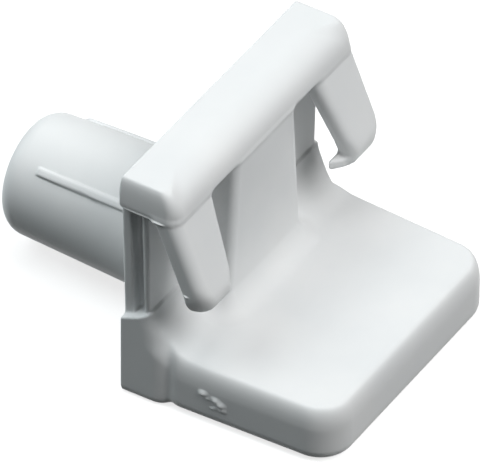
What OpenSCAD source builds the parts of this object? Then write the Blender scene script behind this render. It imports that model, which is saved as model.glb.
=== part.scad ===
// Push-in shelf support for a refrigerator liner, moulded in one piece.
// A ribbed peg goes into the liner, a back plate bears on it, and a platform
// carries the edge of the shelf. Two sprung legs under a top bar hold the
// shelf down on the platform, and a flared pillar between them stops it.
//
// The origin is the centre of the peg's root, on the plane of the liner.
// X runs along the liner, +Y goes into it, and Z is up. Millimetres.

/* [Back plate] */
// Width across the top bar and the lower block
body_w = 20; // [18:0.1:26]
// Height from the underside of the platform to the top of the bar
body_h = 17.1; // [16:0.1:22]
// Thickness of the upper plate behind the legs
plate_t = 1.9; // [1.6:0.1:2.3]
// Step in from the bar's end to the top of the plate's edge
plate_inset = 0.25; // [0.1:0.05:0.5]
// Draft of the plate's edge for each millimetre of drop
plate_draft = 0.035; // [0:0.005:0.05]
// Height of the lower block at its back
block_h = 5.95; // [5.6:0.05:6.6]
// Thickness of the lower block
block_t = 3.2; // [2.5:0.05:3.5]
// Rise of the block's top from its back to its front
block_rise = 0.3; // [0:0.1:0.6]
// Radius of the block's front corners in plan
block_r = 1; // [0.3:0.1:1.6]
// Radius of the block's lower edges
block_foot_r = 0.6; // [0.1:0.1:0.8]
// Distance from the liner to the groove down each edge of the plate
groove_back = 0.35; // [0.2:0.05:0.7]
// Width of that groove
groove_w = 0.85; // [0.4:0.05:0.85]
// Depth of that groove
groove_depth = 0.6; // [0.2:0.1:1]

/* [Platform] */
// Reach of the platform from the liner
platform_reach = 14.8; // [11:0.2:20]
// Thickness of the platform
platform_t = 4.05; // [3.4:0.05:5]
// Width of the platform at the liner
platform_w = 19.8; // [17.2:0.1:19.8]
// Narrowing of each side for each millimetre of reach
platform_taper = 0.045; // [0:0.005:0.08]
// Radius of the front corners in plan
corner_r = 2.2; // [1.6:0.1:5]
// Width of the oval rim round the top, in from the sides
rim_w = 0.95; // [0.5:0.05:1.5]
// Height of that rim, down the sides
rim_h = 2.1; // [1:0.1:2.4]
// Radius of the bottom edge all round
bottom_edge_r = 0.9; // [0.2:0.1:1]

/* [Top bar] */
// Depth of the bar from the liner to its front
bar_depth = 4.15; // [3.8:0.05:5]
// Height of the bar
bar_h = 2.2; // [2.05:0.05:3]
// Radius of the large rounding along the bar's front
bar_front_r = 1.7; // [0.6:0.05:1.7]
// Radius of the bar's lower front edge
bar_low_r = 0.3; // [0.1:0.05:0.35]
// Radius of the bar's ends, from the front and from above
bar_end_r = 0.9; // [0.4:0.1:1]

/* [Legs] */
// Width of each leg under the bar
leg_w = 4.4; // [3:0.05:5]
// Narrowing of the leg's inner edge for each millimetre of drop
leg_taper = 0.18; // [0:0.01:0.2]
// Slant of the leg's inner side for each millimetre behind its face
leg_slant = 0.33; // [0:0.01:0.4]
// Thickness of each leg, square to its face
leg_t = 1.5; // [1:0.05:1.8]
// Slope of the legs towards the front
leg_angle = 22.5; // [10:0.5:28]
// Radius of the legs' long front edges
leg_edge_r = 0.75; // [0.2:0.05:0.9]
// Gap for the shelf between the platform and the feet of the legs
shelf_gap = 4.25; // [4.1:0.05:6]
// Radius of the toe, seen from the side
toe_r = 1.3; // [0.8:0.1:2]
// Width of the foot at the end of each leg
foot_w = 4.1; // [3:0.1:5]
// Height of the foot where it stands out from the leg
foot_h = 0.9; // [0.5:0.1:1.4]
// Radius of the foot's outer corner, seen from the front
foot_outer_r = 1; // [0.5:0.1:2.5]
// Radius of the foot's inner corner, seen from the front
foot_inner_r = 0.9; // [0.3:0.1:1.2]

/* [Pillar] */
// Width of the pillar under the bar
pillar_top_w = 6.7; // [4:0.1:8]
// Width of the pillar at the platform
pillar_foot_w = 8.5; // [6:0.1:9]
// Radius of the pillar's upright edges
pillar_edge_r = 0.5; // [0.2:0.05:0.8]
// Radius of the cove round the pillar's foot
foot_cove_r = 1.5; // [0.5:0.1:2]

/* [Peg] */
// Diameter of the peg
peg_d = 8.8; // [6:0.1:9]
// Length of the peg from the liner
peg_l = 13; // [8:0.1:16]
// Height of the peg's centre above the underside
peg_z = 4.75; // [4.6:0.05:6]
// Length of the tapered lead at the peg's end
lead_l = 5.5; // [2:0.1:6]
// Diameter at the end of the lead
lead_d = 7.9; // [5:0.1:9]
// Radius round the peg's end
peg_nose_r = 1.3; // [0.3:0.1:2]
// Height of each crush rib
rib_h = 0.2; // [0.1:0.05:0.25]
// Width of each crush rib
rib_w = 0.55; // [0.3:0.05:0.8]
// Distance of the ribs from the peg's end
rib_end = 2.5; // [1:0.1:6]
// Angle of the ribs above the peg's sides
rib_angle = 45; // [20:5:70]

/* [Hidden] */
overlap = 0.2;
fine = 96;
medium = 48;
coarse = 32;
floor_z = -peg_z;
seat_z = floor_z + platform_t;
top_z = floor_z + body_h;
bar_z = top_z - bar_h;
foot_z = seat_z + shelf_gap;
ledge_z = floor_z + block_h + block_rise;
ledge_d = plate_t + 0.15;
beyond = 2 * body_h;
plastic = [0.93, 0.94, 0.94];

// Fills the inside corner between a wall on x = 0 and a floor on y = 0,
// and laps under both by the given amount
module cove(r, lap = overlap) {
    difference() {
        translate([-lap, -overlap]) square([r + lap, r + overlap]);
        translate([r, r]) circle(r, $fn = fine);
    }
}

// Runs a profile of (distance from the liner, height) along X, about its middle
module along_bar(length) {
    rotate([90, 0, -90]) linear_extrude(length, center = true) children();
}

// Quarter plane above and right of the origin, with its corner made round.
// Its left side leans to the right by the slant for each millimetre of height.
module round_quarter(r, slant = 0) {
    long = sqrt(1 + slant * slant);
    middle = r * (slant + long);
    polygon([
        [middle, 0],
        [beyond, 0],
        [beyond, beyond],
        [slant * beyond, beyond],
        [middle - r / long, r + r * slant / long],
        [middle, r]]);
    translate([middle, r]) circle(r, $fn = medium);
}

// Rectangle that stands on the x axis, about its middle, with its far corners round
module tongue(w, h, r) {
    translate([-w / 2, 0]) square([w, h - r]);
    translate([r - w / 2, 0]) square([w - 2 * r, h]);
    for (s = [-1, 1])
        translate([s * (w / 2 - r), h - r]) circle(r, $fn = medium);
}

// Disc with the platform's rounded rims, for one corner of its outline
module puck(r) {
    rim_z = platform_t - rim_h;
    low_r = min(bottom_edge_r, r);
    rotate_extrude($fn = medium) polygon(concat(
        [[0, 0]],
        [for (a = [-90:30:0]) [r - low_r * (1 - cos(a)), low_r * (1 + sin(a))]],
        [for (a = [0:18:72]) [r - rim_w * (1 - cos(a)), rim_z + rim_h * sin(a)]],
        [[r - rim_w, platform_t], [0, platform_t]]));
}

// Shelf platform with tapered sides, round corners and soft rims
module platform() {
    back_x = platform_w / 2;
    front_x = back_x - platform_taper * platform_reach;
    translate([0, 0, floor_z]) hull() for (s = [-1, 1]) {
        translate([s * (front_x - corner_r), corner_r - platform_reach, 0]) puck(corner_r);
        translate([s * (back_x - rim_w), -rim_w, 0]) puck(rim_w);
    }
}

// Lower block, with round front corners and a coved top that climbs to a ledge
module block() {
    cove_r = ledge_z - seat_z;
    intersection() {
        translate([0, 0, floor_z]) linear_extrude(body_h)
            mirror([0, 1]) tongue(body_w, block_t, block_r);
        translate([0, 0, ledge_z]) rotate([90, 0, 0]) linear_extrude(beyond)
            mirror([0, 1]) tongue(body_w, ledge_z - floor_z, block_foot_r);
        along_bar(body_w) difference() {
            intersection() {
                translate([block_t, floor_z]) mirror([1, 0]) round_quarter(block_foot_r);
                polygon([
                    [0, floor_z],
                    [0, floor_z + block_h],
                    [ledge_d, ledge_z],
                    [block_t, ledge_z],
                    [block_t, floor_z]]);
            }
            translate([ledge_d + cove_r, ledge_z]) circle(cove_r, $fn = fine);
        }
    }
    along_bar(platform_w - 2 * rim_w) translate([ledge_d, seat_z]) cove(cove_r);
}

// Layer of the upper plate, seen from the front, with its edges set in
module layer(back, thick, inset = 0) {
    top_x = body_w / 2 - plate_inset - inset;
    low_x = top_x - plate_draft * (bar_z - floor_z);
    translate([0, -back, 0]) rotate([90, 0, 0]) linear_extrude(thick) polygon([
        [-low_x, floor_z],
        [low_x, floor_z],
        [top_x, bar_z],
        [top_x, bar_z + bar_h / 2],
        [-top_x, bar_z + bar_h / 2],
        [-top_x, bar_z]]);
}

// Upper plate, with drafted edges and a groove down each of them
module plate() {
    groove_end = groove_back + groove_w;
    layer(0, groove_back);
    layer(groove_back, groove_w, groove_depth);
    layer(groove_end, plate_t - groove_end);
}

// Top bar, with one large rounding along its front and round ends
module bar() {
    intersection() {
        along_bar(body_w) intersection() {
            translate([bar_depth, top_z]) rotate(180) round_quarter(bar_front_r);
            translate([bar_depth, bar_z]) mirror([1, 0]) round_quarter(bar_low_r);
            translate([0, bar_z]) square([bar_depth, bar_h]);
        }
        translate([0, 0, bar_z]) rotate([90, 0, 0]) linear_extrude(bar_depth)
            tongue(body_w, bar_h, bar_end_r);
        translate([0, 0, bar_z]) linear_extrude(bar_h)
            mirror([0, 1]) tongue(body_w, bar_depth, bar_end_r);
    }
}

// Places its children on the front face of a leg, at its root, with Z up the leg
module on_leg(x, turn = 0) {
    translate([x, -bar_depth, bar_z]) rotate([-leg_angle, turn, 0])
        translate([0, 0, -beyond / 2]) linear_extrude(beyond) children();
}

// Sprung leg on the +X side: a slab that narrows to a wider, round foot
module leg() {
    outer_x = body_w / 2;
    toe_z = foot_z + toe_r;
    toe_y = toe_r / cos(leg_angle) - bar_depth - (bar_z - toe_z) * tan(leg_angle);
    intersection() {
        // Outer front edge and the thickness
        on_leg(outer_x) mirror([1, 0]) intersection() {
            round_quarter(leg_edge_r);
            square([beyond, leg_t]);
        }
        // Inner edge of the leg, or the foot below it
        union() {
            on_leg(outer_x - leg_w, -atan(leg_taper * cos(leg_angle)))
                round_quarter(leg_edge_r, leg_slant);
            translate([0, -beyond, foot_z - overlap]) cube([beyond, beyond, foot_h + overlap]);
        }
        // Round toe
        along_bar(2 * body_w) {
            translate([-toe_y, toe_z]) circle(toe_r, $fn = fine);
            translate([0, toe_z]) square([beyond, bar_z + bar_h / 2 - toe_z]);
        }
        // Outline of the foot from the front
        rotate([90, 0, 0]) linear_extrude(beyond) intersection() {
            translate([outer_x - foot_w, foot_z]) round_quarter(foot_inner_r);
            translate([outer_x, foot_z]) mirror([1, 0]) round_quarter(foot_outer_r);
        }
    }
}

// Flared pillar between the legs, flush with the bar, with a cove round its foot
module pillar() {
    top_x = pillar_top_w / 2 - pillar_edge_r;
    foot_x = pillar_foot_w / 2 - pillar_edge_r;
    front_y = pillar_edge_r - bar_depth;
    hull() for (s = [-1, 1], y = [front_y, -plate_t / 2]) {
        translate([s * top_x, y, bar_z]) cylinder(bar_low_r, r = pillar_edge_r, $fn = coarse);
        translate([s * foot_x, y, seat_z - overlap]) cylinder(overlap, r = pillar_edge_r, $fn = coarse);
    }
    translate([0, 0, seat_z]) {
        along_bar(2 * foot_x) translate([bar_depth, 0]) cove(foot_cove_r);
        for (s = [-1, 1]) {
            translate([s * pillar_foot_w / 2, 0, 0]) mirror([s < 0 ? 1 : 0, 0, 0])
                rotate([90, 0, 0]) linear_extrude(-front_y) cove(foot_cove_r);
            translate([s * foot_x, front_y, 0]) rotate(s < 0 ? 180 : 270)
                rotate_extrude(angle = 90, $fn = fine)
                    translate([pillar_edge_r, 0]) cove(foot_cove_r, pillar_edge_r / 2);
        }
    }
}

// Straight part, tapered lead and round nose of the peg in one turned piece,
// grown all round by the given amount
module shank(grow = 0) {
    core_r = min(lead_d, peg_d) / 2 - peg_nose_r + grow;
    nose_z = peg_l - peg_nose_r;
    rotate_extrude($fn = fine) {
        polygon([
            [0, -plate_t / 2],
            [peg_d / 2 + grow, -plate_t / 2],
            [peg_d / 2 + grow, peg_l - lead_l],
            [core_r + peg_nose_r, nose_z],
            [0, nose_z]]);
        translate([0, nose_z]) square([core_r, peg_nose_r]);
        intersection() {
            translate([core_r, nose_z]) circle(peg_nose_r, $fn = 64);
            translate([0, nose_z]) square(peg_d);
        }
    }
}

// Peg with crush ribs on its upper side only
module peg() {
    rotate([-90, 0, 0]) {
        shank();
        intersection() {
            shank(rib_h);
            for (a = [-rib_angle, rib_angle - 180]) rotate(a)
                translate([peg_d / 4, -rib_w / 2, -plate_t])
                    cube([peg_d, rib_w, peg_l - max(rib_end, peg_nose_r) + plate_t]);
        }
    }
}

module shelf_support() {
    color(plastic) {
        platform();
        block();
        plate();
        bar();
        leg();
        mirror([1, 0, 0]) leg();
        pillar();
        peg();
    }
}

shelf_support();
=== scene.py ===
"""Push-in shelf support for a refrigerator liner, dressed as the moulded part.

The support is one moulding of white plastic. Its form is written as a field of
distances, in millimetres, in which the sub-assemblies run into each other with
the soft coves and rims that a mould leaves. A net is laid on the field's zero
level, and that one skin stands for the CAD solid.
"""

import logging
import math
from collections.abc import Callable
from dataclasses import dataclass, field
from enum import Enum

import bpy
import numpy as np
from mathutils import Matrix, Vector


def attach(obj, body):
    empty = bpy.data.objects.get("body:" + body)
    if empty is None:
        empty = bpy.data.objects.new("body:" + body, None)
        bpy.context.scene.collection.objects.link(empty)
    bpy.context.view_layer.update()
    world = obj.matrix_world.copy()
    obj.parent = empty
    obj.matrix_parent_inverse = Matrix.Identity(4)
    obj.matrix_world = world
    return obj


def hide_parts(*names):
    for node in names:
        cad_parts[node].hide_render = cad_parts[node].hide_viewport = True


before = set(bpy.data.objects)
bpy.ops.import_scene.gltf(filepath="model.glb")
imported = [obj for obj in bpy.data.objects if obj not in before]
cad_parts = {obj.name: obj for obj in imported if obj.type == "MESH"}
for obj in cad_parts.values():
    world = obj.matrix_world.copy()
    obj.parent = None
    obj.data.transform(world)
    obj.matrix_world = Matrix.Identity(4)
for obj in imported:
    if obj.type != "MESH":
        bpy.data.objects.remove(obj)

LOG = logging.getLogger("shelf_support")
MM = 0.001
IMAGE_WIDTH = 483
LAMP_DISTANCE = 0.6
LEAST_SLOPE = 1e-6

Array = np.ndarray
Field = Callable[[Array, Array, Array], Array]
Colour = tuple[float, float, float]
Stretches = tuple[tuple[float, float], ...]

WHITE: Colour = (1.0, 1.0, 1.0)
COOL: Colour = (0.90, 0.98, 1.0)


# ---------------------------------------------------------------- field maths


def joined(a: Array, b: Array, cove: float | Array) -> Array:
    """Joins two forms with a round cove in the corner between them.

    Args:
        a: Distance to the first form.
        b: Distance to the second form.
        cove: Radius of the cove.

    Returns:
        Distance to both forms together.
    """
    corner = np.hypot(np.maximum(cove - a, 0), np.maximum(cove - b, 0))
    return np.maximum(cove, np.minimum(a, b)) - corner


def shared(a: Array, b: Array, rim: float | Array) -> Array:
    """Keeps what two forms share, with a round rim where they meet.

    Args:
        a: Distance to the first form.
        b: Distance to the second form.
        rim: Radius of the rim.

    Returns:
        Distance to the shared form.
    """
    corner = np.hypot(np.maximum(rim + a, 0), np.maximum(rim + b, 0))
    return np.minimum(-rim, np.maximum(a, b)) + corner


def oval(a: Array, b: Array, inset: float | Array, drop: float | Array) -> Array:
    """Keeps what two forms share, with an oval rim where they meet.

    Args:
        a: Distance to the form whose side the rim falls down.
        b: Distance to the form whose top the rim leaves.
        inset: How far in from the side the rim starts.
        drop: How far below the top it ends.

    Returns:
        Measure that is zero on the shared form's surface.
    """
    return shared(a * (drop / inset), b, drop)


def eased(value: Array, start: float, end: float) -> Array:
    """Smooth step from 0 at start to 1 at end.

    Args:
        value: Where the step is read.
        start: Value at which it leaves 0.
        end: Value at which it reaches 1.

    Returns:
        The step's height, from 0 to 1.
    """
    t = np.clip((value - start) / (end - start), 0, 1)
    return t * t * (3 - 2 * t)


def mixed(start: float | Array, end: float, share: Array) -> Array:
    """Mix of two numbers by a share from 0 to 1."""
    return start + (end - start) * share


# ------------------------------------------------------------- sub-assemblies


@dataclass
class Datum:
    """Heights and width that the sub-assemblies share, in millimetres."""

    width: float = 20.3
    floor_z: float = -4.75
    seat_z: float = -0.7
    bar_z: float = 10.15
    top_z: float = 12.35

    @property
    def half(self) -> float:
        """Half of the width."""
        return self.width / 2


@dataclass
class LowerBody:
    """Platform and liner block, with the cove that climbs to the ledge."""

    datum: Datum
    reach: float = 14.8
    half_width: float = 9.9
    taper: float = 0.045
    corner: float = 2.2
    rim_inset: float = 0.6
    rim_drop: float = 1.6
    bottom_rim: float = 0.9
    block_half: float = 9.9
    block_depth: float = 3.2
    block_corner: float = 1.0
    block_rim: float = 0.8
    cove_rim: float = 1.25
    block_foot: float = 0.6
    side_cove: float = 0.2
    nick: float = 0.15
    nick_ahead: float = 0.1
    nick_width: float = 0.4
    change_behind: float = 0.5
    change_ahead: float = 0.3
    cove_rim_z: float = -0.4
    block_rim_z: float = 1.1
    ledge_depth: float = 1.95
    ledge_back: float = 1.2
    ledge_rise: float = 0.85
    ledge_rim: float = 0.15
    wall_cove: float = 3.0

    def distance(self, x: Array, d: Array, z: Array) -> Array:
        """Distance to the platform and block.

        Args:
            x: Places across the support.
            d: Distances in front of the liner.
            z: Heights.

        Returns:
            Distance to the form at each place.
        """
        side = (abs(x) - self.half_width + self.taper * d) / math.hypot(1, self.taper)
        past_block = (d - self.block_depth - self.nick_ahead) / self.nick_width
        side = side + self.nick * np.exp(-past_block ** 2)
        platform = shared(side, d - self.reach, self.corner)
        ears = shared(abs(x) - self.block_half, d - self.block_depth, self.block_corner)
        outline = joined(platform, ears, self.side_cove)
        ledge = joined(d - self.ledge_depth, z - self.datum.seat_z, self.wall_cove)
        top = z - self.ledge_back - self.ledge_rise * d / self.ledge_depth
        out = eased(d, self.block_depth - self.change_behind, self.block_depth + self.change_ahead)
        up = eased(z, self.cove_rim_z, self.block_rim_z)
        rim = mixed(self.cove_rim, self.block_rim, up)
        inset, drop = mixed(rim, self.rim_inset, out), mixed(rim, self.rim_drop, out)
        form = shared(oval(outline, ledge, inset, drop), top, self.ledge_rim)
        foot = mixed(self.block_foot, self.bottom_rim, out)
        return np.maximum(form, shared(outline, self.datum.floor_z - z, foot))


@dataclass
class BackPlate:
    """Upper plate behind the legs, with a groove down each edge."""

    datum: Datum
    depth: float = 1.8
    inset: float = 0.4
    draft: float = 0.035
    edge: float = 0.18
    middle_z: float = 4.0
    half_height: float = 7.5
    end_rim: float = 0.2
    groove_back: float = 1.04
    groove_width: float = 0.76
    groove_depth: float = 0.75
    groove_foot: float = 1.2
    groove_cove: float = 0.2
    groove_rim: float = 0.12

    def distance(self, x: Array, d: Array, z: Array) -> Array:
        """Distance to the plate.

        Args:
            x: Places across the support.
            d: Distances in front of the liner.
            z: Heights.

        Returns:
            Distance to the form at each place.
        """
        half = self.datum.half - self.inset - self.draft * (self.datum.bar_z - z)
        form = shared(abs(x) - half, d - self.depth, self.edge)
        form = shared(form, abs(z - self.middle_z) - self.half_height, self.end_rim)
        walls = abs(d - self.groove_back) - self.groove_width / 2
        groove = shared(walls, half - self.groove_depth - abs(x), self.groove_cove)
        groove = shared(groove, self.groove_foot - z, self.groove_cove)
        return shared(form, -groove, self.groove_rim)


@dataclass
class TopBar:
    """Bar across the top, round along its front and over its ends."""

    datum: Datum
    depth: float = 4.15
    corner: float = 0.9
    front_inset: float = 1.9
    end_inset: float = 0.45
    front_drop: float = 1.9
    end_drop: float = 2.1
    change: float = 1.1
    low_rim: float = 0.4
    low_end_rim: float = 0.3
    back_rim: float = 0.2
    lap: float = 0.02

    def distance(self, x: Array, d: Array, z: Array) -> Array:
        """Distance to the bar.

        Args:
            x: Places across the support.
            d: Distances in front of the liner.
            z: Heights.

        Returns:
            Distance to the form at each place.
        """
        front, end = d - self.depth, abs(x) - self.datum.half
        outline = shared(end, front, self.corner)
        ahead = eased(front - end, -self.change, self.change)
        inset = mixed(self.end_inset, self.front_inset, ahead)
        drop = mixed(self.end_drop, self.front_drop, ahead)
        low = mixed(self.low_end_rim, self.low_rim, ahead)
        form = oval(outline, z - self.datum.top_z, inset, drop)
        form = np.maximum(form, shared(outline, self.datum.bar_z - z, low))
        return shared(form, -d - self.lap, self.back_rim)


@dataclass
class SprungLegs:
    """Two legs that slope out from the bar and hold the shelf down."""

    datum: Datum
    root_depth: float = 4.15
    width: float = 4.55
    taper: float = 0.18
    slant: float = 0.33
    thickness: float = 1.5
    slope: float = 22.5
    edge: float = 0.75
    inner_edge: float = 0.9
    foot_z: float = 3.55
    toe: float = 1.85
    foot_width: float = 4.25
    foot_height: float = 0.75
    foot_outer: float = 1.3
    foot_inner: float = 1.3
    foot_back: float = 4.85
    foot_cut: float = 1.2
    foot_rim: float = 0.15
    foot_cove: float = 0.3
    toe_side: float = 0.3
    back_cove: float = 0.3
    back_rim: float = 0.15
    round_from: float = 2.4
    round_to: float = 0.8
    lap: float = 0.3
    lap_rim: float = 0.1

    def distance(self, x: Array, d: Array, z: Array) -> Array:
        """Distance to the pair of legs.

        Args:
            x: Places across the support.
            d: Distances in front of the liner.
            z: Heights.

        Returns:
            Distance to the form at each place.
        """
        lean = math.radians(self.slope)
        front = (d - self.root_depth) * math.cos(lean) + (z - self.datum.bar_z) * math.sin(lean)
        outer, sole = abs(x) - self.datum.half, self.foot_z - z
        drop = self.datum.bar_z - z
        inner = self.datum.half - self.width + self.taper * drop - self.slant * front - abs(x)
        inner = inner / math.hypot(1, self.taper, self.slant)
        end = self.datum.half - self.foot_width + self.foot_cut * (d - self.foot_back) - abs(x)
        end = end / math.hypot(1, self.foot_cut)
        foot = shared(end, z - self.foot_z - self.foot_height, self.foot_rim)
        inner = joined(inner, foot, self.foot_cove)
        low = eased(z, self.foot_z + self.round_from, self.foot_z + self.round_to)
        form = shared(front, sole, self.toe)
        form = shared(form, outer, mixed(self.edge, self.foot_outer, low))
        form = np.maximum(form, shared(front, inner, mixed(self.inner_edge, self.foot_inner, low)))
        form = np.maximum(form, shared(sole, inner, self.toe_side))
        back = joined(-front - self.thickness, self.foot_back - d, self.back_cove)
        form = shared(form, back, self.back_rim)
        return shared(form, z - self.datum.bar_z - self.lap, self.lap_rim)


@dataclass
class StopPillar:
    """Flared pillar between the legs, which stops the shelf."""

    datum: Datum
    half_top: float = 3.35
    half_foot: float = 4.25
    depth: float = 4.15
    edge: float = 0.5
    foot_cove: float = 1.5
    middle_z: float = 4.2
    half_height: float = 6.2
    end_rim: float = 0.1

    def distance(self, x: Array, d: Array, z: Array) -> Array:
        """Distance to the pillar.

        Args:
            x: Places across the support.
            d: Distances in front of the liner.
            z: Heights.

        Returns:
            Distance to the form at each place.
        """
        flare = (self.half_foot - self.half_top) / (self.datum.bar_z - self.datum.seat_z)
        side = (abs(x) - self.half_top - flare * (self.datum.bar_z - z)) / math.hypot(1, flare)
        form = shared(side, d - self.depth, self.edge)
        return shared(form, abs(z - self.middle_z) - self.half_height, self.end_rim)


@dataclass
class Peg:
    """Tapered peg with a round nose and two crush ribs on its upper side."""

    length: float = 13.0
    root_radius: float = 4.4
    end_radius: float = 3.95
    nose: float = 1.3
    rib_angle: float = 45.0
    rib_height: float = 0.2
    rib_width: float = 0.55
    rib_end: float = 10.5
    rib_rim: float = 0.15
    rib_foot_rim: float = 0.1
    rib_cove: float = 0.1
    root_cove: float = 0.25
    lap: float = 1.0
    lap_rim: float = 0.1

    def distance(self, x: Array, y: Array, z: Array) -> Array:
        """Distance to the peg.

        Args:
            x: Places across the support.
            y: Distances into the liner.
            z: Heights.

        Returns:
            Distance to the form at each place.
        """
        wall = mixed(self.root_radius, self.end_radius, y / self.length)
        out = np.hypot(x, z)
        form = shared(out - wall, y - self.length, self.nose)
        for turn in (self.rib_angle, 180 - self.rib_angle):
            c, s = math.cos(math.radians(turn)), math.sin(math.radians(turn))
            along = x * c + z * s
            across = abs(z * c - x * s) - self.rib_width / 2
            rib = shared(across, along - wall - self.rib_height, self.rib_rim)
            rib = shared(rib, y - self.rib_end, self.rib_rim)
            rib = shared(rib, self.root_radius / 2 - along, self.rib_foot_rim)
            form = joined(form, rib, self.rib_cove)
        return shared(form, -self.lap - y, self.lap_rim)


@dataclass
class Skin:
    """Net laid on a field's zero level: its knots in millimetres, its meshes and normals."""

    knots: Array
    quads: Array
    normals: Array


@dataclass
class Weaver:
    """Lays a net on the zero level of a field, between grid lines on the three axes."""

    xs: Array
    ys: Array
    zs: Array
    passes: int = 4
    reach: float = 0.02
    longest_move: float = 0.12

    @staticmethod
    def spaced(start: float, stretches: Stretches) -> Array:
        """Grid lines whose spacing changes from stretch to stretch.

        Args:
            start: Where the first stretch starts.
            stretches: End of each stretch and the spacing in it.

        Returns:
            The places of the lines.
        """
        lines = [np.array([start])]
        for end, step in stretches:
            count = max(1, round((end - start) / step))
            lines.append(np.linspace(start, end, count + 1)[1:])
            start = end
        return np.concatenate(lines)

    def weave(self, distance: Field) -> Skin:
        """Lays the net.

        Args:
            distance: Function of x, y and z that gives the distance to the form.

        Returns:
            The finished net.
        """
        values = distance(self.xs[:, None, None], self.ys[None, :, None], self.zs[None, None, :])
        inside = values < 0
        cells = np.zeros(tuple(n - 1 for n in inside.shape), np.int8)
        for i, j, k in np.ndindex(2, 2, 2):
            cells += inside[i:, j:, k:][:cells.shape[0], :cells.shape[1], :cells.shape[2]]
        ci, cj, ck = np.nonzero((cells > 0) & (cells < 8))
        number = np.full(cells.shape, -1, np.int32)
        number[ci, cj, ck] = np.arange(len(ci))
        knots = self.crossings(values, (ci, cj, ck))
        quads = self.meshes(inside, number)
        for _ in range(self.passes):
            knots = self.pulled(distance, knots)
        return Skin(knots, quads, self.slopes(distance, knots)[1])

    def crossings(self, values: Array, cells: tuple[Array, Array, Array]) -> Array:
        """Mean of the places where each cell's edges cross the zero level.

        Args:
            values: Field at every grid point.
            cells: Numbers of the cells that the level passes through.

        Returns:
            One knot for each cell.
        """
        lines = (self.xs, self.ys, self.zs)
        total = np.zeros((len(cells[0]), 3))
        count = np.zeros(len(cells[0]))
        for axis in range(3):
            for a, b in np.ndindex(2, 2):
                low = list(cells)
                others = [n for n in range(3) if n != axis]
                low[others[0]] = cells[others[0]] + a
                low[others[1]] = cells[others[1]] + b
                high = list(low)
                high[axis] = low[axis] + 1
                v0, v1 = values[tuple(low)], values[tuple(high)]
                crosses = (v0 < 0) != (v1 < 0)
                share = np.where(crosses, v0 / np.where(crosses, v0 - v1, 1), 0)
                for n in range(3):
                    p0, p1 = lines[n][low[n]], lines[n][high[n]]
                    total[:, n] += crosses * (p0 + share * (p1 - p0))
                count += crosses
        return total / count[:, None]

    @staticmethod
    def meshes(inside: Array, number: Array) -> Array:
        """Four-sided meshes of the net, one for each grid edge that crosses the level.

        Args:
            inside: Whether each grid point is in the form.
            number: Number of each cell's knot.

        Returns:
            Knot numbers, four for each mesh, facing outward.
        """
        found = []
        for axis in range(3):
            u, v = (axis + 1) % 3, (axis + 2) % 3
            low = np.take(inside, range(inside.shape[axis] - 1), axis)
            high = np.take(inside, range(1, inside.shape[axis]), axis)
            at = np.nonzero(low != high)
            keep = (at[u] > 0) & (at[v] > 0)
            keep &= (at[u] < inside.shape[u] - 1) & (at[v] < inside.shape[v] - 1)
            at = tuple(n[keep] for n in at)
            corners = []
            for du, dv in ((1, 1), (0, 1), (0, 0), (1, 0)):
                cell = list(at)
                cell[u], cell[v] = at[u] - du, at[v] - dv
                corners.append(number[tuple(cell)])
            quad = np.stack(corners, 1)
            leaves = low[at]
            quad[~leaves] = quad[~leaves][:, ::-1]
            found.append(quad)
        return np.concatenate(found)

    def slopes(self, distance: Field, knots: Array) -> tuple[Array, Array]:
        """Slope of the field at the knots.

        Args:
            distance: Function of x, y and z that gives the distance to the form.
            knots: Places to read.

        Returns:
            The steepness at each knot, and the outward direction.
        """
        rise = np.empty_like(knots)
        for n in range(3):
            step = np.zeros(3)
            step[n] = self.reach
            ahead, behind = (knots + step).T, (knots - step).T
            rise[:, n] = (distance(*ahead) - distance(*behind)) / (2 * self.reach)
        steep = np.maximum(np.linalg.norm(rise, axis=1), LEAST_SLOPE)
        return steep, rise / steep[:, None]

    def pulled(self, distance: Field, knots: Array) -> Array:
        """Moves the knots onto the zero level.

        Args:
            distance: Function of x, y and z that gives the distance to the form.
            knots: Places to move.

        Returns:
            The moved places.
        """
        steep, out = self.slopes(distance, knots)
        move = np.clip(distance(*knots.T) / steep, -self.longest_move, self.longest_move)
        return knots - out * move[:, None]


# ------------------------------------------------------------- scene and nodes


def placed(name: str, data: bpy.types.ID) -> bpy.types.Object:
    """Puts a new object in the scene.

    Args:
        name: Name of the object.
        data: The mesh, lamp or camera that it shows.

    Returns:
        The object, at the scene's origin.
    """
    item = bpy.data.objects.new(name, data)
    bpy.context.scene.collection.objects.link(item)
    return item


def toward(azimuth: float, elevation: float) -> Vector:
    """Direction from the support's origin, as a vector of length 1.

    Args:
        azimuth: Degrees round from the front, to the right.
        elevation: Degrees above the floor.

    Returns:
        The direction.
    """
    a, e = math.radians(azimuth), math.radians(elevation)
    return Vector((math.sin(a) * math.cos(e), -math.cos(a) * math.cos(e), math.sin(e)))


def shown_to_eye(
    tree: bpy.types.NodeTree, hidden: bpy.types.NodeSocket, shown: bpy.types.NodeSocket
) -> bpy.types.NodeSocket:
    """Mixes two shaders by the kind of ray that meets them.

    Args:
        tree: Node tree to build in.
        hidden: Shader that the light in the room meets.
        shown: Shader that the camera sees, straight, in a reflection or through glass.

    Returns:
        Output of the mixed shader.
    """
    path = tree.nodes.new("ShaderNodeLightPath")
    seen = path.outputs["Is Camera Ray"]
    for ray in ("Is Glossy Ray", "Is Transmission Ray"):
        either = tree.nodes.new("ShaderNodeMath")
        either.operation = "MAXIMUM"
        tree.links.new(seen, either.inputs[0])
        tree.links.new(path.outputs[ray], either.inputs[1])
        seen = either.outputs[0]
    mix = tree.nodes.new("ShaderNodeMixShader")
    tree.links.new(seen, mix.inputs["Fac"])
    tree.links.new(hidden, mix.inputs[1])
    tree.links.new(shown, mix.inputs[2])
    return mix.outputs["Shader"]


# ------------------------------------------------------------------- finishes


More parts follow.
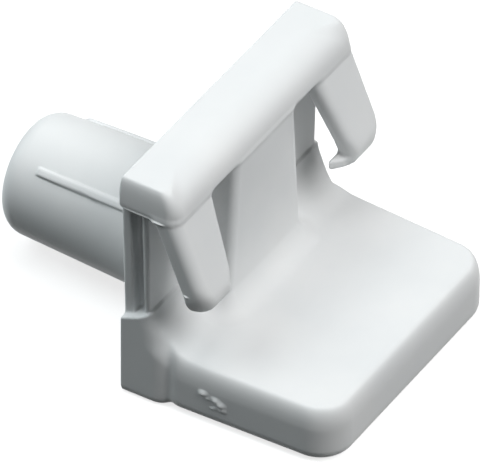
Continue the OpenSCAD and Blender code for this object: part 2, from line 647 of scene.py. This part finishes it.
@dataclass(frozen=True)
class WhitePlastic:
    """Semi-gloss white plastic, as moulded."""

    name: str = "white_plastic"
    colour: Colour = (0.83, 0.84, 0.84)
    shade: Colour = (0.79, 0.805, 0.81)
    refraction: float = 1.46
    specular: float = 0.12
    roughness: float = 0.34
    roughness_spread: float = 0.08
    flow_scale: float = 160.0
    flow_detail: float = 3.0
    flow_low: float = 0.35
    flow_high: float = 0.65
    peel_scale: float = 2600.0
    peel_detail: float = 2.0
    peel_strength: float = 0.35
    peel_depth: float = 0.000004

    def made(self) -> bpy.types.Material:
        """Makes the material.

        Returns:
            The material, with its colour, gloss and surface grain from noise.
        """
        material = bpy.data.materials.new(self.name)
        material.use_nodes = True
        nodes, links = material.node_tree.nodes, material.node_tree.links
        shader = nodes["Principled BSDF"]
        shader.inputs["IOR"].default_value = self.refraction
        shader.inputs["Specular IOR Level"].default_value = self.specular
        place = nodes.new("ShaderNodeTexCoord")
        flow = nodes.new("ShaderNodeTexNoise")
        flow.inputs["Scale"].default_value = self.flow_scale
        flow.inputs["Detail"].default_value = self.flow_detail
        tone = nodes.new("ShaderNodeValToRGB")
        low, high = tone.color_ramp.elements
        low.position, low.color = self.flow_low, (*self.shade, 1)
        high.position, high.color = self.flow_high, (*self.colour, 1)
        gloss = nodes.new("ShaderNodeMapRange")
        gloss.inputs["To Min"].default_value = self.roughness - self.roughness_spread
        gloss.inputs["To Max"].default_value = self.roughness + self.roughness_spread
        peel = nodes.new("ShaderNodeTexNoise")
        peel.inputs["Scale"].default_value = self.peel_scale
        peel.inputs["Detail"].default_value = self.peel_detail
        bump = nodes.new("ShaderNodeBump")
        bump.inputs["Strength"].default_value = self.peel_strength
        bump.inputs["Distance"].default_value = self.peel_depth
        links.new(place.outputs["Object"], flow.inputs["Vector"])
        links.new(place.outputs["Object"], peel.inputs["Vector"])
        links.new(flow.outputs["Fac"], tone.inputs["Fac"])
        links.new(tone.outputs["Color"], shader.inputs["Base Color"])
        links.new(flow.outputs["Fac"], gloss.inputs["Value"])
        links.new(gloss.outputs["Result"], shader.inputs["Roughness"])
        links.new(peel.outputs["Fac"], bump.inputs["Height"])
        links.new(bump.outputs["Normal"], shader.inputs["Normal"])
        return material


# ------------------------------------------------------------------ moulding


@dataclass(frozen=True)
class Grid:
    """Start of the grid lines on each axis, with the end and spacing of each stretch."""

    x_start: float = -10.4
    x_stretches: Stretches = ((-5.4, 0.15), (5.4, 0.17), (10.4, 0.15))
    y_start: float = -15.2
    y_stretches: Stretches = ((-7.0, 0.2), (1.2, 0.14), (13.4, 0.22))
    z_start: float = -5.15
    z_stretches: Stretches = ((-1.4, 0.18), (12.75, 0.15))

    def weaver(self) -> Weaver:
        """Makes a weaver on this grid.

        Returns:
            The weaver, with its grid lines laid out.
        """
        return Weaver(
            xs=Weaver.spaced(self.x_start, self.x_stretches),
            ys=Weaver.spaced(self.y_start, self.y_stretches),
            zs=Weaver.spaced(self.z_start, self.z_stretches),
        )


@dataclass
class Moulding:
    """The whole support in one piece."""

    finish: WhitePlastic
    datum: Datum = field(default_factory=Datum)
    grid: Grid = Grid()
    plate_cove: float = 0.12
    pillar_cove: float = 0.35
    flare_from: float = 2.6
    flare_to: float = 0.4
    bar_cove: float = 0.3
    leg_cove: float = 0.3
    liner_rim: float = 0.15

    def __post_init__(self) -> None:
        """Makes the sub-assemblies on the shared datum."""
        self.lower = LowerBody(self.datum)
        self.plate = BackPlate(self.datum)
        self.bar = TopBar(self.datum)
        self.legs = SprungLegs(self.datum)
        self.pillar = StopPillar(self.datum)
        self.peg = Peg()

    def distance(self, x: Array, y: Array, z: Array) -> Array:
        """Distance to the moulding.

        Args:
            x: Places across the support.
            y: Places along it, into the liner.
            z: Heights.

        Returns:
            Distance to the form at each place.
        """
        d = -y
        form = joined(self.lower.distance(x, d, z), self.plate.distance(x, d, z), self.plate_cove)
        low = eased(z, self.flare_from, self.flare_to)
        cove = mixed(self.pillar_cove, self.pillar.foot_cove, low)
        form = joined(form, self.pillar.distance(x, d, z), cove)
        form = joined(form, self.bar.distance(x, d, z), self.bar_cove)
        form = joined(form, self.legs.distance(x, d, z), self.leg_cove)
        form = shared(form, y, self.liner_rim)
        return joined(form, self.peg.distance(x, y, z), self.peg.root_cove)

    def build(self) -> bpy.types.Object:
        """Lays the skin and dresses it.

        Returns:
            The moulding's object, which stands for the CAD solid.
        """
        skin = self.grid.weaver().weave(self.distance)
        mesh = bpy.data.meshes.new("moulding")
        mesh.from_pydata((skin.knots * MM).tolist(), [], skin.quads.tolist())
        mesh.shade_smooth()
        mesh.normals_split_custom_set_from_vertices(skin.normals.tolist())
        mesh.materials.append(self.finish.made())
        piece = placed("moulding", mesh)
        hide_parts("shelf_support")
        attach(piece, "root")
        return piece


@dataclass(frozen=True)
class MouldMark:
    """Small raised mark that the mould left, as lumps on the moulding's skin.

    Its place is x, the distance in front of the liner and z. Each lump is its place along
    and up the mark and its size, as shares of the mark's half sizes, and its height.
    """

    name: str
    place: tuple[float, float, float]
    half_length: float
    half_height: float
    lumps: tuple[tuple[float, float, float, float], ...]
    tilt: float = 0.0
    fade_from: float = 0.75
    sink: float = 0.012
    rows: int = 28
    columns: int = 64
    passes: int = 6

    def lift(self, u: Array, v: Array) -> Array:
        """How far the mark stands out of the moulding.

        Args:
            u: Share of the way along the mark, from -1 to 1.
            v: Share of the way up it, from -1 to 1.

        Returns:
            The lift in millimetres, which falls just under the surface at the mark's edge.
        """
        total = np.zeros_like(u)
        for along, up, size, height in self.lumps:
            total += height * np.exp(-(((u - along) ** 2 + (v - up) ** 2) / size ** 2))
        return total * eased(np.maximum(abs(u), abs(v)), 1, self.fade_from) - self.sink

    def build(self, moulding: Moulding, finish: bpy.types.Material) -> bpy.types.Object:
        """Lays the mark on the moulding's skin.

        Args:
            moulding: The support whose field the mark follows.
            finish: The moulding's material.

        Returns:
            The mark's object.
        """
        up, along = np.linspace(-1, 1, self.rows), np.linspace(-1, 1, self.columns)
        v, u = (side.ravel() for side in np.meshgrid(up, along, indexing="ij"))
        x, d, z = self.place
        reach = u * self.half_length
        height = z + v * self.half_height + self.tilt * reach
        knots = np.stack([np.full_like(u, x), -d - reach, height], 1)
        weaver = moulding.grid.weaver()
        for _ in range(self.passes):
            knots = weaver.pulled(moulding.distance, knots)
        out = weaver.slopes(moulding.distance, knots)[1]
        knots = knots + out * self.lift(u, v)[:, None]
        number = np.arange(self.rows * self.columns).reshape(self.rows, self.columns)
        quads = np.stack([number[:-1, :-1], number[1:, :-1], number[1:, 1:], number[:-1, 1:]], -1)
        mesh = bpy.data.meshes.new(self.name)
        mesh.from_pydata((knots * MM).tolist(), [], quads.reshape(-1, 4).tolist())
        mesh.shade_smooth()
        mesh.materials.append(finish)
        piece = placed(self.name, mesh)
        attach(piece, "root")
        return piece


MOULD_MARKS = (
    MouldMark("gate_scar", (-9.6, 6.44, -2.8), 1.2, 0.8, (
        (-0.58, 0.50, 0.26, 0.17), (-0.34, 0.10, 0.16, 0.08), (-0.12, -0.30, 0.22, -0.05),
        (0.14, 0.24, 0.24, 0.15), (0.44, -0.08, 0.26, 0.17), (0.56, -0.52, 0.22, 0.12),
        (0.04, -0.62, 0.20, 0.09))),
    MouldMark("bar_flash", (-10.1, 1.75, 10.2), 1.75, 0.16, (
        (-0.8, 0, 0.5, 0.10), (-0.1, 0, 0.5, 0.10), (0.6, 0, 0.5, 0.10))),
    MouldMark("foot_flash", (-10.1, 4.85, 5.25), 0.3, 0.12, ((0, 0, 0.6, 0.10),), -0.1),
)


# --------------------------------------------------------------------- studio


@dataclass(frozen=True)
class SoftLight:
    """Round soft light: its direction in degrees, its width in metres, its watts and tint."""

    azimuth: float
    elevation: float
    size: float
    power: float
    tint: Colour = WHITE


class Lamp(Enum):
    """Lamps of the studio."""

    FRONT = SoftLight(3, 50, 0.40, 2.50)
    TOP = SoftLight(0, 88, 0.30, 0.70)
    BACK_LEFT = SoftLight(-137, 60, 0.30, 1.15, COOL)
    BACK_RIGHT = SoftLight(135, 55, 0.30, 0.35)
    LOW_BACK = SoftLight(180, 14, 0.30, 1.20, COOL)


@dataclass(frozen=True)
class PaleFloor:
    """Pale floor that keeps the support's shadow and throws little light back at it."""

    name: str = "pale_floor"
    dark: Colour = (0.05, 0.055, 0.055)
    pale: Colour = (0.5, 0.5, 0.5)
    glow: float = 0.75

    def made(self) -> bpy.types.Material:
        """Makes the material.

        Returns:
            The material, dark for the light in the room and pale for the eye.
        """
        material = bpy.data.materials.new(self.name)
        material.use_nodes = True
        tree = material.node_tree
        nodes, links = tree.nodes, tree.links
        nodes.clear()
        dark = nodes.new("ShaderNodeBsdfDiffuse")
        dark.inputs["Color"].default_value = (*self.dark, 1)
        pale = nodes.new("ShaderNodeBsdfDiffuse")
        pale.inputs["Color"].default_value = (*self.pale, 1)
        glow = nodes.new("ShaderNodeEmission")
        glow.inputs["Color"].default_value = (*WHITE, 1)
        glow.inputs["Strength"].default_value = self.glow
        lit = nodes.new("ShaderNodeAddShader")
        links.new(pale.outputs["BSDF"], lit.inputs[0])
        links.new(glow.outputs["Emission"], lit.inputs[1])
        out = nodes.new("ShaderNodeOutputMaterial")
        shown = shown_to_eye(tree, dark.outputs["BSDF"], lit.outputs["Shader"])
        links.new(shown, out.inputs["Surface"])
        return material


@dataclass
class Studio:
    """Floor, lamps, world and camera.

    The floor's height and the camera's shift aside and above are in millimetres, its pixels
    are the focal length in pixels of the render, and the other lengths are in metres.
    """

    floor_z: float
    floor_half: float = 0.3
    floor_gap: float = 0.00001
    azimuth: float = -58.1
    elevation: float = 40.75
    roll: float = 0.5
    distance: float = 0.7
    pixels: float = 11485.0
    sensor: float = 36.0
    near: float = 0.05
    far: float = 20.0
    aside: float = 2.05
    above: float = 0.65
    room_tint: Colour = (0.93, 0.97, 1.0)
    ambient: float = 0.02

    def build(self) -> None:
        """Sets up the whole studio."""
        self.lay_floor()
        self.hang_lamps()
        self.fill_world()
        self.aim_camera()
        bpy.context.scene.view_settings.view_transform = "Standard"

    def lay_floor(self) -> None:
        """Lays the pale floor, which keeps the support's shadow."""
        mesh = bpy.data.meshes.new("floor")
        r = self.floor_half
        z = self.floor_z * MM - self.floor_gap
        mesh.from_pydata([(-r, -r, z), (r, -r, z), (r, r, z), (-r, r, z)], [], [(0, 1, 2, 3)])
        mesh.materials.append(PaleFloor().made())
        floor = placed("floor", mesh)

    @staticmethod
    def hang_lamps() -> None:
        """Hangs the soft lamps, all turned to the support."""
        for lamp in Lamp:
            light = lamp.value
            direction = toward(light.azimuth, light.elevation)
            data = bpy.data.lights.new(lamp.name.lower() + "_lamp", "AREA")
            data.shape = "DISK"
            data.size = light.size
            data.energy = light.power
            data.color = light.tint
            item = placed(data.name, data)
            item.location = direction * LAMP_DISTANCE
            item.rotation_euler = (-direction).to_track_quat("-Z", "Y").to_euler()

    def fill_world(self) -> None:
        """Fills the room with a little light, and shows white behind the support."""
        world = bpy.data.worlds.new("room")
        bpy.context.scene.world = world
        world.use_nodes = True
        tree = world.node_tree
        tree.nodes.clear()
        dim = tree.nodes.new("ShaderNodeBackground")
        dim.inputs["Color"].default_value = (*self.room_tint, 1)
        dim.inputs["Strength"].default_value = self.ambient
        white = tree.nodes.new("ShaderNodeBackground")
        white.inputs["Color"].default_value = (*WHITE, 1)
        out = tree.nodes.new("ShaderNodeOutputWorld")
        shown = shown_to_eye(tree, dim.outputs["Background"], white.outputs["Background"])
        tree.links.new(shown, out.inputs["Surface"])

    def aim_camera(self) -> None:
        """Places the camera and makes it the scene's own."""
        back = toward(self.azimuth, self.elevation)
        turn, roll = math.radians(self.azimuth), math.radians(self.roll)
        level = Vector((math.cos(turn), math.sin(turn), 0))
        upright = back.cross(level)
        right = level * math.cos(roll) + upright * math.sin(roll)
        up = upright * math.cos(roll) - level * math.sin(roll)
        data = bpy.data.cameras.new("camera")
        data.sensor_width = self.sensor
        data.lens = self.pixels * self.sensor / IMAGE_WIDTH
        data.clip_start, data.clip_end = self.near, self.far
        camera = placed("camera", data)
        shift = (right * self.aside + up * self.above) * MM
        turned = Matrix((right, up, back)).transposed().to_4x4()
        camera.matrix_world = Matrix.Translation(back * self.distance + shift) @ turned
        bpy.context.scene.camera = camera


def main() -> None:
    """Builds the support and its studio, and notes the sizes."""
    logging.basicConfig(level=logging.INFO, format="%(message)s")
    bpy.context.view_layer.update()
    moulding = Moulding(WhitePlastic())
    piece = moulding.build()
    LOG.info("%s: %d faces", piece.name, len(piece.data.polygons))
    for mark in MOULD_MARKS:
        laid = mark.build(moulding, piece.data.materials[0])
        LOG.info("%s: %d faces", laid.name, len(laid.data.polygons))
    Studio(moulding.datum.floor_z).build()
    LOG.info("studio: %d lamps", len(Lamp))


if __name__ == "__main__":
    main()
